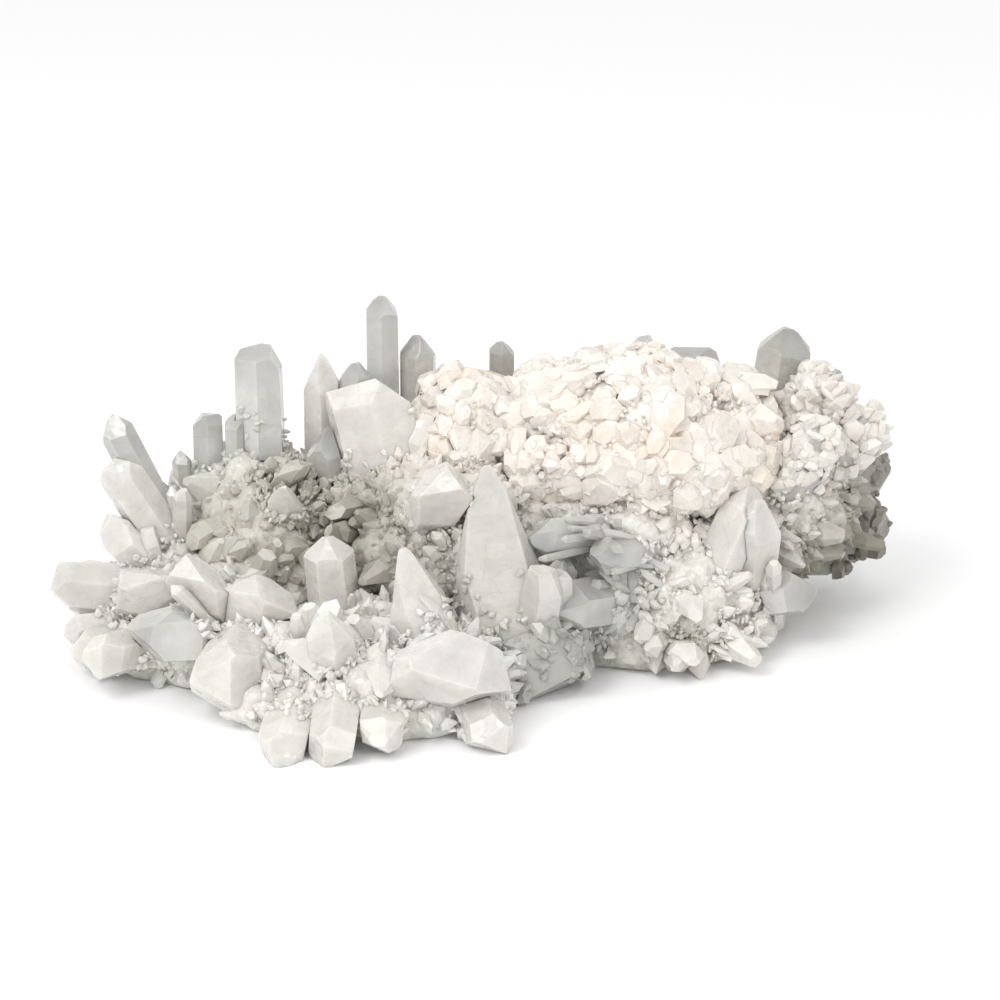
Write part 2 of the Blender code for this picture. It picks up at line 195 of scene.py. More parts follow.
def merged_solid(node):
    """A solid's corners and triangles, with corners in the same place counted once."""
    mesh = frame["nodes"][node].data
    mesh.calc_loop_triangles()
    places = np.empty(len(mesh.vertices) * 3, np.float32)
    mesh.vertices.foreach_get("co", places)
    corners = np.empty(len(mesh.loop_triangles) * 3, np.int32)
    mesh.loop_triangles.foreach_get("vertices", corners)
    places = places.reshape(-1, 3).astype(float)
    grid = np.round(places / SAME_PLACE).astype(np.int64)
    _, first, where = np.unique(grid, axis=0, return_index=True, return_inverse=True)
    triangles = where.reshape(-1)[corners].reshape(-1, 3)
    real = (triangles[:, 0] != triangles[:, 1]) & (triangles[:, 1] != triangles[:, 2])
    real &= triangles[:, 0] != triangles[:, 2]
    return places[first], triangles[real]


def corner_normals(places, triangles):
    """Each corner's outward direction: the sum of its triangles' area vectors, made one long."""
    a, b, c = (places[triangles[:, i]] for i in range(3))
    areas = np.cross(b - a, c - a)
    normals = np.zeros_like(places)
    for i in range(3):
        np.add.at(normals, triangles[:, i], areas)
    return unit(normals)


def waves(points, length, rng):
    """Smooth noise, mostly between -1.4 and 1.4: the sum of plane sine waves in random directions,
    each near the given length, over the square root of their number."""
    directions = unit(rng.normal(0, 1, (WAVE_COUNT, 3))) * math.tau
    directions = directions / (length * rng.uniform(0.6, 1.7, (WAVE_COUNT, 1)))
    shifts = rng.uniform(0, math.tau, WAVE_COUNT)
    return np.sin(points @ directions.T + shifts).sum(axis=1) / math.sqrt(WAVE_COUNT)


def nearest(places, marks, few):
    """The few nearest marks of each place and how far off they are, a block of places at a time."""
    found, apart = [], []
    for block in np.array_split(places, max(1, len(places) // BLOCK)):
        squares = (block ** 2).sum(axis=1)[:, None] - 2 * block @ marks.T + (marks ** 2).sum(axis=1)
        picked = np.argpartition(squares, few - 1, axis=1)[:, :few]
        found.append(picked)
        apart.append(np.sqrt(np.maximum(np.take_along_axis(squares, picked, axis=1), 0)))
    return np.concatenate(found), np.concatenate(apart)


def packed_points(places, normals, size, slope, rng):
    """Relief of crystal points packed side by side, as a height for each place and the number of
    the point that it lies on.

    Seeds lie about size apart, each with a six-sided pyramid on the surface there. The pyramid's
    height at a place is its own height less slope times the largest of the six dot products of
    the offset with its face directions, and the relief is the highest pyramid of the nearest four.
    """
    spread = np.ptp(places, axis=0)
    # A rounded mass has about 0.8 of its box's surface. It gets a dozen points at least, and at
    # most one for every six places.
    area = 2 * (spread[0] * spread[1] + spread[1] * spread[2] + spread[2] * spread[0]) * 0.8
    number = int(min(len(places) / 6, max(12, area / size ** 2)))
    picked = rng.choice(len(places), number, replace=False)
    seeds, up = places[picked], unit(normals[picked] + rng.normal(0, 0.25, (number, 3)))
    side = unit(np.cross(up, rng.normal(0, 1, (number, 3))))
    third = np.cross(up, side)
    tall = size * rng.uniform(0.15, 0.75, number)
    index, _ = nearest(places, seeds, 4)
    offset = places[:, None] - seeds[index]
    x = (offset * side[index]).sum(axis=2)
    y = (offset * third[index]).sum(axis=2) * rng.uniform(0.8, 1.3, number)[index]
    reach = (x[..., None] * np.cos(CORNERS) + y[..., None] * np.sin(CORNERS)).max(axis=2)
    heights = tall[index] - slope * reach
    return heights.max(axis=1), index[np.arange(len(places)), heights.argmax(axis=1)]


# ---------------------------------------------------------------- pieces

def mesh_arrays(mesh):
    """A mesh's places, corner counts and corners as whole arrays."""
    places = np.empty(len(mesh.vertices) * 3, np.float32)
    mesh.vertices.foreach_get("co", places)
    counts = np.empty(len(mesh.polygons), np.int32)
    mesh.polygons.foreach_get("loop_total", counts)
    corners = np.empty(len(mesh.loops), np.int32)
    mesh.loops.foreach_get("vertex_index", corners)
    return places.reshape(-1, 3).astype(float), counts, corners


def add_piece(name, surface, material, along, tone, flat=True):
    """A mesh from whole arrays, riding on the stone's one body.

    along runs from 0 at a root or in a dip to 1 at a tip, and where it is low the material puts
    dust and painted shade. tone is the stone's colour, by corner of the mesh or by face. flat keeps
    each face a plane.
    """
    places, counts, corners = surface
    mesh = bpy.data.meshes.new(name)
    mesh.vertices.add(len(places))
    mesh.vertices.foreach_set("co", places.astype(np.float32).ravel())
    mesh.loops.add(len(corners))
    mesh.loops.foreach_set("vertex_index", corners.astype(np.int32))
    mesh.polygons.add(len(counts))
    starts = np.concatenate([[0], np.cumsum(counts)[:-1]])
    mesh.polygons.foreach_set("loop_start", starts.astype(np.int32))
    mesh.polygons.foreach_set("use_smooth", np.full(len(counts), not flat))
    mesh.update(calc_edges=True)
    mesh.attributes.new("along", "FLOAT", "POINT").data.foreach_set("value", along.astype(np.float32))
    coloured = np.ones((len(tone), 4), np.float32)
    coloured[:, :3] = np.clip(tone, 0, BRIGHTEST)
    kind = "POINT" if len(tone) == len(places) else "FACE"
    mesh.attributes.new("tone", "FLOAT_COLOR", kind).data.foreach_set("color", coloured.ravel())
    mesh.materials.append(material)
    piece = bpy.data.objects.new(name, mesh)
    bpy.context.scene.collection.objects.link(piece)
    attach(piece, "root")
    return piece


# ---------------------------------------------------------------- materials

def add_node(tree, kind, settings=(), **inputs):
    """One node with its settings, and its inputs as values or as sockets to link from. An input
    named i0, i1 and so on goes by its number."""
    node = tree.nodes.new(kind)
    for key, value in dict(settings).items():
        setattr(node, key, value)
    for key, value in inputs.items():
        by_number = key[1:].isdigit()
        socket = node.inputs[int(key[1:]) if by_number else key.replace("_", " ")]
        if isinstance(value, bpy.types.NodeSocket):
            tree.links.new(value, socket)
        else:
            socket.default_value = value
    return node


# How strongly quartz bends light.
QUARTZ_IOR = 1.544


def quartz(name, roughness, subsurface, depth, transmission, grain, facet, crevice_shade, stain=0.0,
           tip=1.0):
    """Quartz: a glassy mineral, clouded white inside by tiny fluid bubbles.

    Its colour is the tone attribute, clouded by noise, with dust and painted shade towards the root
    and in hollows.
    subsurface is the share of the light that spreads inside it, over depth millimetres, and
    transmission the share that passes through. grain is the width in millimetres of the small
    faces that make its skin, facet how far those lean, and crevice how much darker the lines
    between them are, as painted shade. stain is the strength of a faint tan bloom, and tip the
    brightness of a clear tip: below 1, a painted darkness of what the tip shows through.
    """
    material = bpy.data.materials.new(name)
    material.use_nodes = True
    tree = material.node_tree
    shader = tree.nodes["Principled BSDF"]
    place = add_node(tree, "ShaderNodeTexCoord").outputs["Object"]
    tone = add_node(tree, "ShaderNodeAttribute", {"attribute_name": "tone"}).outputs["Color"]
    along = add_node(tree, "ShaderNodeAttribute", {"attribute_name": "along"}).outputs["Fac"]
    # Milky clouds about 6 mm across.
    clouds = add_node(tree, "ShaderNodeTexNoise", Vector=place, Scale=1 / (6 * MM), Detail=6.0,
                      Roughness=0.62)
    cloudy = add_node(tree, "ShaderNodeMapRange", i0=clouds.outputs["Fac"], i1=0.3, i2=0.7, i3=0.90,
                      i4=1.06)
    # The small faces of the skin: which one a place is on, and how near its rim.
    cells = add_node(tree, "ShaderNodeTexVoronoi", Vector=place, Scale=1 / (grain * MM))
    rims = add_node(tree, "ShaderNodeTexVoronoi", {"feature": "DISTANCE_TO_EDGE"}, Vector=place,
                    Scale=1 / (grain * MM))
    # Painted shade: the colour darkens towards each small face's rim, as if the crevices between them
    # were shaded.
    rim_shade = add_node(tree, "ShaderNodeMapRange", i0=rims.outputs["Distance"], i1=0.0, i2=0.22,
                    i3=1 - crevice_shade, i4=1.0)
    rim_shaded = add_node(tree, "ShaderNodeMath", {"operation": "MULTIPLY"},
                     i0=cloudy.outputs[0], i1=rim_shade.outputs[0])
    # A clear tip holds no white clouds, so it is tip times as bright: below 1, a painted darkness of
    # what the tip shows through.
    cleared = add_node(tree, "ShaderNodeMapRange", i0=along, i1=0.72, i2=0.98, i3=1.0, i4=tip)
    shade = add_node(tree, "ShaderNodeMath", {"operation": "MULTIPLY"},
                     i0=rim_shaded.outputs[0], i1=cleared.outputs[0])
    body = add_node(tree, "ShaderNodeVectorMath", {"operation": "SCALE"},
                    i0=tone, Scale=shade.outputs[0])
    colour = body.outputs[0]
    if stain:
        # Iron leaves a faint pink-tan bloom about 20 mm across.
        bloom = add_node(tree, "ShaderNodeTexNoise", Vector=place, Scale=1 / (20 * MM), Detail=3.0)
        amount = add_node(tree, "ShaderNodeMapRange", i0=bloom.outputs["Fac"], i1=0.45, i2=0.7,
                          i3=0.0, i4=stain)
        tan = add_node(tree, "ShaderNodeMix", {"data_type": "RGBA", "blend_type": "MULTIPLY"},
                       i0=amount.outputs[0], i6=colour, i7=(*IRON_STAIN, 1))
        colour = tan.outputs[2]
    # Dust and painted shade lie where along is low, at roots and in dips, in patches.
    dust_and_shade_amount = add_node(tree, "ShaderNodeMath", {"operation": "MULTIPLY_ADD", "use_clamp": True},
                     i0=along, i1=-1.6, i2=clouds.outputs["Fac"])
    dust_and_shade_mix = add_node(tree, "ShaderNodeMix", {"data_type": "RGBA"},
                    i0=dust_and_shade_amount.outputs[0], i6=colour, i7=(*DUST_AND_SHADE, 1))
    tree.links.new(dust_and_shade_mix.outputs[2], shader.inputs["Base Color"])
    # Every small face leans its own way, so that some of them catch the lamp.
    lean = add_node(tree, "ShaderNodeVectorMath", {"operation": "SUBTRACT"},
                    i0=cells.outputs["Color"], i1=(0.5, 0.5, 0.5))
    leaning = add_node(tree, "ShaderNodeVectorMath", {"operation": "SCALE"},
                       i0=lean.outputs[0], Scale=facet)
    straight = add_node(tree, "ShaderNodeNewGeometry").outputs["Normal"]
    turned = add_node(tree, "ShaderNodeVectorMath", {"operation": "ADD"},
                      i0=straight, i1=leaning.outputs[0])
    faced = add_node(tree, "ShaderNodeVectorMath", {"operation": "NORMALIZE"}, i0=turned.outputs[0])
    fine = add_node(tree, "ShaderNodeTexNoise", Vector=place, Scale=1 / (0.7 * grain * MM),
                    Detail=4.0, Roughness=0.6)
    relief = add_node(tree, "ShaderNodeBump", Strength=0.3, Distance=0.25 * MM,
                      Height=fine.outputs["Fac"], Normal=faced.outputs[0])
    # Quartz grows in fine steps across its length, about 0.6 mm apart. Only the solid crystals
    # carry a height, in millimetres, so the others have no steps.
    height = add_node(tree, "ShaderNodeAttribute", {"attribute_name": "height"}).outputs["Fac"]
    steps = add_node(tree, "ShaderNodeTexNoise", {"noise_dimensions": "1D"}, W=height, Scale=1.7,
                     Detail=2.0)
    ribbed = add_node(tree, "ShaderNodeBump", Strength=0.35, Distance=0.12 * MM,
                      Height=steps.outputs["Fac"], Normal=relief.outputs[0])
    # Faces rise and fall slowly, about 4 mm from crest to crest.
    slow = add_node(tree, "ShaderNodeTexNoise", Vector=place, Scale=1 / (4 * MM), Detail=2.0)
    swell = add_node(tree, "ShaderNodeBump", Strength=0.5, Distance=0.9 * MM,
                     Height=slow.outputs["Fac"], Normal=ribbed.outputs[0])
    tree.links.new(swell.outputs["Normal"], shader.inputs["Normal"])
    # Some faces are frosted and others bright.
    frost = add_node(tree, "ShaderNodeSeparateColor", Color=cells.outputs["Color"])
    gloss = add_node(tree, "ShaderNodeMapRange", i0=frost.outputs[0], i1=0.0, i2=1.0,
                     i3=roughness * 0.5, i4=roughness * 1.5)
    tree.links.new(gloss.outputs[0], shader.inputs["Roughness"])
    shader.inputs["IOR"].default_value = QUARTZ_IOR
    shader.inputs["Subsurface Weight"].default_value = subsurface
    shader.inputs["Subsurface Radius"].default_value = (1.0, 0.97, 0.92)
    shader.inputs["Subsurface Scale"].default_value = depth * MM
    shader.inputs["Transmission Weight"].default_value = transmission
    return material


# Milky quartz grows with a satin skin and glows where it is thin.
milky = quartz("milky_quartz", roughness=0.26, subsurface=0.75, depth=2.2, transmission=0.12,
               grain=3.2, facet=0.12, crevice_shade=0.03)
# Clear points have glassy faces over a cloudy inside.
clear = quartz("cloudy_rock_crystal", roughness=0.12, subsurface=0.45, depth=1.4, transmission=0.30,
               grain=4.0, facet=0.06, crevice_shade=0.0, tip=0.80)
# Smoky grey quartz lets less light back out.
smoky = quartz("smoky_quartz", roughness=0.20, subsurface=0.35, depth=1.2, transmission=0.22,
               grain=3.5, facet=0.08, crevice_shade=0.02, tip=0.80)
# Young crystals are bright-faced and white all through.
young = quartz("young_quartz", roughness=0.20, subsurface=0.40, depth=0.5, transmission=0.06,
               grain=2.2, facet=0.15, crevice_shade=0.0)
# A sugary skin is thousands of tiny bright faces.
sugar = quartz("sugary_druse", roughness=0.32, subsurface=0.35, depth=0.5, transmission=0.0,
               grain=1.1, facet=0.30, crevice_shade=0.03, stain=0.4)
# The matrix is a crust of fine crystals with dust and painted shade between them.
matrix = quartz("drusy_matrix", roughness=0.42, subsurface=0.25, depth=0.4, transmission=0.0,
                grain=1.2, facet=0.6, crevice_shade=0.05)
MATERIAL_OF = {
    "milky_quartz": milky,
    "clear_quartz": clear,
    "grey_quartz": smoky,
    "sugar_quartz": sugar,
}


# ---------------------------------------------------------------- masses and solid crystals

# How far a mass's skin may go in and out of its solid.
DEEPEST, HIGHEST = -2.5 * MM, 2.8 * MM


def fine_skin(node, voxel):
    """A solid's surface as even small squares: its places, counts, corners and normals."""
    places, triangles = merged_solid(node)
    mesh = bpy.data.meshes.new(node + "_rough")
    mesh.from_pydata(places.tolist(), [], triangles.tolist())
    rough = bpy.data.objects.new(node + "_rough", mesh)
    bpy.context.scene.collection.objects.link(rough)
    remesh = rough.modifiers.new("even_skin", "REMESH")
    remesh.mode = "VOXEL"
    remesh.voxel_size = voxel
    evaluated = rough.evaluated_get(bpy.context.evaluated_depsgraph_get())
    fine = bpy.data.meshes.new_from_object(evaluated)
    bpy.data.objects.remove(rough)
    places, counts, corners = mesh_arrays(fine)
    bpy.data.meshes.remove(fine)
    quads = corners.reshape(-1, 4)
    normals = corner_normals(places, np.concatenate([quads[:, :3], quads[:, [0, 2, 3]]]))
    return places, counts, corners, normals


def settle(places):
    """How freely a place may move: not at all on the resting face, and wholly 4 mm above it."""
    return np.clip((places[:, 2] - cad_low[2]) / (4 * MM), 0, 1)


def craggy_mass(node, slot, material, rng, voxel, reliefs, own):
    """A mass skinned with packed crystal points over slow swells. Each relief is the points' size
    in millimetres, their slope and how much of their height is used. Each point of the last relief
    has a slightly different tone."""
    places, counts, corners, normals = fine_skin(node, voxel)
    # Swells about 26 mm across and 0.8 mm high.
    lift = waves(places, 26 * MM, rng) * 0.8 * MM
    depth = np.zeros(len(places))
    for size, slope, share in reliefs:
        height, owner = packed_points(places, normals, size * MM, slope, rng)
        height = share * (height - np.median(height))
        lift += np.clip(height, -0.25 * size * MM, 0.35 * size * MM)
        depth += height / (0.25 * size * MM)
    lift = np.clip(lift, DEEPEST, HIGHEST) * settle(places)
    moved = places + normals * lift[:, None]
    moved[:, 2] = np.maximum(moved[:, 2], cad_low[2])
    # along is lower in the relief's dips, where the material paints dust and shade.
    along = 0.62 + 0.38 * np.clip(depth / len(reliefs), -1, 1)
    tint = rng.uniform(0.93, 1.04, owner.max() + 1)[owner]
    piece = add_piece(node + "_skin", (moved, counts, corners), material, along,
                      tone_at(moved, slot, own) * tint[:, None], flat=False)
    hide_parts(node)


def crystal_frame(node, rock_places):
    """A crystal's axis, and how far along it the crystal starts and ends.

    The axis runs from the middle of its corners near the rock to the middle of its corners far
    from it.
    """
    places = merged_solid(node)[0]
    away = nearest(places, rock_places, 1)[1][:, 0]
    share = away / max(away.max(), 1e-6)
    axis = unit(places[share > 0.75].mean(axis=0) - places[share < 0.35].mean(axis=0))
    height = places @ axis
    return axis, height.min(), height.max()


def along_crystal(places, lie):
    """Each place's share of the way from a crystal's root to its tip."""
    axis, start, end = lie
    return np.clip((places @ axis - start) / (end - start), 0, 1)


def worn_crystal(node, lie, rng):
    """A crystal with its coplanar triangles joined into faces and its edges rounded. Each face is
    a little lighter or darker at random, painted to stand for the different light that faces looking
    into the stone at their own angle give back."""
    places, triangles = merged_solid(node)
    mesh = bpy.data.meshes.new(node)
    mesh.from_pydata(places.tolist(), [], triangles.tolist())
    working = bmesh.new()
    working.from_mesh(mesh)
    bmesh.ops.dissolve_limit(working, angle_limit=math.radians(1.5), verts=working.verts,
                             edges=working.edges)
    bmesh.ops.recalc_face_normals(working, faces=working.faces)
    working.to_mesh(mesh)
    working.free()
    surface = mesh_arrays(mesh)
    bpy.data.meshes.remove(mesh)
    slot = SLOT_OF[node]
    glassy = slot in GLASSY_SLOTS
    # Faces of clear stone differ more in this painted light, because they show what lies behind them.
    contrast = 0.13 if glassy else 0.05
    # Most of the colour comes from the patches nearby, and the rest from the slot.
    tone = 0.4 * TONES[slot] + 0.6 * tone_at(middle(node)[None], slot, 0.5)
    tone = tone * rng.uniform(0.95 - contrast, 0.97 + contrast, (len(surface[1]), 1))
    # A low along towards the root gives dust and painted shade there.
    piece = add_piece(node + "_worn", surface, MATERIAL_OF[slot],
                      0.25 + 0.75 * along_crystal(surface[0], lie), tone)
    height = (surface[0] @ lie[0] / MM).astype(np.float32)
    piece.data.attributes.new("height", "FLOAT", "POINT").data.foreach_set("value", height)
    edges = piece.modifiers.new("worn_edges", "BEVEL")
    edges.width = (0.35 if glassy else 0.9) * MM
    edges.segments = 2 if glassy else 3
    edges.limit_method = "ANGLE"
    edges.angle_limit = math.radians(18)
    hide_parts(node)


# ---------------------------------------------------------------- grown crystals

def scatter(node, number, rng):
    """Places and outward directions spread over a solid, by area: a triangle is drawn by its share
    of the surface, and a place in it by two random fractions folded at the diagonal."""
    places, triangles = merged_solid(node)
    normals = corner_normals(places, triangles)
    a, b, c = (places[triangles[:, i]] for i in range(3))
    shares = np.cumsum(np.linalg.norm(np.cross(b - a, c - a), axis=1))
    drawn = np.searchsorted(shares, rng.uniform(0, shares[-1], number))
    u, v = rng.uniform(0, 1, (2, number, 1))
    folded = u + v > 1
    u, v = np.where(folded, 1 - u, u), np.where(folded, 1 - v, v)
    spots = a[drawn] + u * (b - a)[drawn] + v * (c - a)[drawn]
    na, nb, nc = (normals[triangles[drawn, i]] for i in range(3))
    return spots, unit(na * (1 - u - v) + nb * u + nc * v)


def shared_lean(spots, strength, rng):
    """A direction that neighbours nearly share: three slow noises, one for each axis."""
    return np.stack([waves(spots, 45 * MM, rng) for _ in range(3)], axis=1) * strength


def grown_crystals(name, spots, outward, lengths, widths, slot, material, rng, spread,
                   ends=POINTED, own=0.1, foot=0.25, common=0.5):
    """Many six-sided crystals as one mesh: three rings of six corners each, at the root, the
    shoulder and the tip, around an axis that strays from the surface's own direction.

    spread is how far each axis strays by itself, and common how far neighbours lean the same way.
    ends is how wide the tips are left. own weighs the slot's colour against the patches nearby.
    foot is the along at the root, from 0 to 1: the lower it is, the more dust and painted shade
    the material puts at the root.
    """
    number = len(spots)
    axis = unit(outward + rng.normal(0, spread, (number, 3)) + shared_lean(spots, common, rng))
    side = unit(np.cross(axis, rng.normal(0, 1, (number, 3))))
    third = np.cross(axis, side)
    radius = widths / 2
    rise = np.minimum(POINT_RISE * radius * rng.uniform(0.7, 1.6, number), 0.7 * lengths)
    heights = np.stack([-ROOTED * lengths, lengths - rise, lengths], axis=1)
    shrink = np.stack([np.ones(number), np.full(number, 0.92), rng.uniform(*ends, number)], axis=1)
    uneven = rng.uniform(0.84, 1.16, (number, SIDES))
    flat = rng.uniform(0.6, 1.0, number)
    off = rng.uniform(-0.35, 0.35, (number, 2)) * radius[:, None]
    reach = radius[:, None, None] * shrink[:, :, None] * uneven[:, None]
    x = reach * np.cos(CORNERS)
    y = reach * np.sin(CORNERS) * flat[:, None, None]
    x[:, 2] += off[:, :1]
    y[:, 2] += off[:, 1:]
    places = spots[:, None, None] + heights[:, :, None, None] * axis[:, None, None]
    places = places + x[..., None] * side[:, None, None] + y[..., None] * third[:, None, None]
    places[..., 2] = np.maximum(places[..., 2], cad_low[2] + 0.05 * MM)
    # Two bands of walls, then the face at the tip and the one at the root.
    ring = np.arange(SIDES)
    after = (ring + 1) % SIDES
    band = np.stack([ring, after, after + SIDES, ring + SIDES], axis=1)
    one = np.concatenate([band.ravel(), (band + SIDES).ravel(), ring + 2 * SIDES, ring[::-1]])
    corners = (one[None] + 3 * SIDES * np.arange(number)[:, None]).ravel()
    counts = np.tile([4] * (2 * SIDES) + [SIDES, SIDES], number)
    along = np.tile(np.repeat([foot, 0.8, 1.0], SIDES), number)
    by_face = rng.uniform(0.90, 1.06, (number, 2 * SIDES + 2, 1))
    faces = by_face * rng.uniform(0.94, 1.04, (number, 1, 1))
    tone = (tone_at(spots, slot, own)[:, None] * faces).reshape(-1, 3)
    return add_piece(name, (places.reshape(-1, 3), counts, corners), material, along, tone)


def parallel_crystals(nodes, lies, each, rng):
    """Spots, axes, lengths and widths of small crystals on the lower flanks of large ones, with
    nearly the same axis."""
    spots, axes, lengths, widths = [], [], [], []
    for node in nodes:
        axis, start, end = lies[node]
        found, outward = scatter(node, 40, rng)
        height = (found - middle(node)) @ axis
        flank = np.abs(outward @ axis) < 0.5
        low = flank & (height < np.quantile(height, 0.6)) & (found[:, 2] > 3 * MM)
        chosen = np.flatnonzero(low)[:each]
        across = np.abs(((found - middle(node)) - height[:, None] * axis)).max()
        wide = across * rng.uniform(0.6, 1.1, len(chosen))
        foot = found[chosen] - (height[chosen] - height.min())[:, None] * axis
        spots.append(foot - outward[chosen] * 0.30 * wide[:, None])
        axes.append(unit(axis + 0.12 * outward[chosen]))
        lengths.append((end - start) * rng.uniform(0.35, 0.65, len(chosen)))
        widths.append(wide)
    return (np.concatenate(part) for part in (spots, axes, lengths, widths))


def crystal_feet(lies, each, rng):
    """Places in patches on the lower part of each solid crystal, with their outward directions:
    a smooth noise picks them, less five times the share of the way to the tip."""
    spots, outward = [], []
    for node, lie in lies.items():
        found, away = scatter(node, each, rng)
        crusted = waves(found, 14 * MM, rng) - 5.0 * along_crystal(found, lie) + 1.3
        kept = (crusted > 0) & (found[:, 2] > 2 * MM)
        spots.append(found[kept])
        outward.append(away[kept])
    return np.concatenate(spots), np.concatenate(outward)


def bare_spots(node, number, away_from, clearance, rng):
    """Places scattered over a solid, with their outward directions, kept where they are clear of
    the given points, off the resting face and not facing down."""
    spots, outward = scatter(node, number, rng)
    near = nearest(spots, away_from, 1)[1][:, 0]
    kept = (near > clearance) & (outward[:, 2] > -0.55) & (spots[:, 2] > 2.5 * MM)
    return spots[kept], outward[kept]


def in_thirds(spots):
    """Three groups of places: left, middle and right."""
    width = cad_high[0] - cad_low[0]
    third = np.clip(((spots[:, 0] - cad_low[0]) / width * 3).astype(int), 0, 2)
    return [(label, third == index) for index, label in enumerate(("left", "middle", "right"))]


def build_solids(rng):
    """The masses and the solid crystals. Returns how each crystal lies."""
    rock_places = merged_solid(ROCK)[0]
    craggy_mass(ROCK, "rock_quartz", matrix, rng, voxel=1.1 * MM,
                reliefs=((11, 0.5, 0.6), (4.5, 0.75, 1.0)), own=0.15)
    craggy_mass("sugary_dome", "sugar_quartz", sugar, rng, voxel=0.75 * MM,
                reliefs=((10, 0.5, 0.45), (3.0, 0.4, 0.3)), own=3.0)
    craggy_mass("cream_mass", "sugar_quartz", sugar, rng, voxel=0.75 * MM,
                reliefs=((8, 0.5, 0.4), (3.4, 0.4, 0.3)), own=3.0)
    lies = {node: crystal_frame(node, rock_places) for node in CRYSTAL_NODES}
    for node, lie in lies.items():
        worn_crystal(node, lie, rng)
    return lies


def grow_all_over(lies, mass_places, rng):
    """The crystals on the bare rock and on the flanks and feet of the solid ones, from large to
    fine."""
    # Only crystals at least this wide have smaller ones beside them.
    wide = 9 * MM
    big = [node for node in CRYSTAL_NODES
           if SLOT_OF[node] == "milky_quartz" and min(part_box(node)[1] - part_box(node)[0]) > wide]
    spots, axes, lengths, widths = parallel_crystals(big, lies, 2, rng)
    grown_crystals("parallel_crystals", spots, axes, lengths, widths, "milky_quartz", young, rng,
                   spread=0.05, ends=BLUNT, own=1.0)

    solid_places = np.concatenate([merged_solid(node)[0] for node in CRYSTAL_NODES])
    taken = np.concatenate([solid_places, mass_places])
    spots, outward = bare_spots(ROCK, 900, taken, 4.0 * MM, rng)
    spots, outward = spots[:170], outward[:170]
    grown_crystals("companion_crystals", spots, outward, rng.uniform(4, 9, len(spots)) * MM,
                   rng.uniform(4, 9.5, len(spots)) * MM, "milky_quartz", young, rng,
                   spread=0.25, ends=BLUNT)

    spots, outward = bare_spots(ROCK, 2600, mass_places, 2.0 * MM, rng)
    grown_crystals("young_crystals", spots, outward, rng.uniform(1.6, 4.5, len(spots)) * MM,
                   rng.uniform(1.8, 4.5, len(spots)) * MM, "clear_quartz", young, rng, spread=0.35)

    spots, outward = bare_spots(ROCK, 19000, mass_places, 1.0 * MM, rng)
    for label, here in in_thirds(spots):
        number = int(here.sum())
        grown_crystals(label + "_druse", spots[here], outward[here],
                       rng.uniform(0.7, 1.7, number) * MM, rng.uniform(0.8, 1.9, number) * MM,
                       "rock_quartz", matrix, rng, spread=0.4)

    spots, outward = crystal_feet(lies, 220, rng)
    grown_crystals("foot_druse", spots, outward, rng.uniform(0.6, 1.8, len(spots)) * MM,
                   rng.uniform(0.9, 2.4, len(spots)) * MM, "milky_quartz", young, rng, spread=0.4)


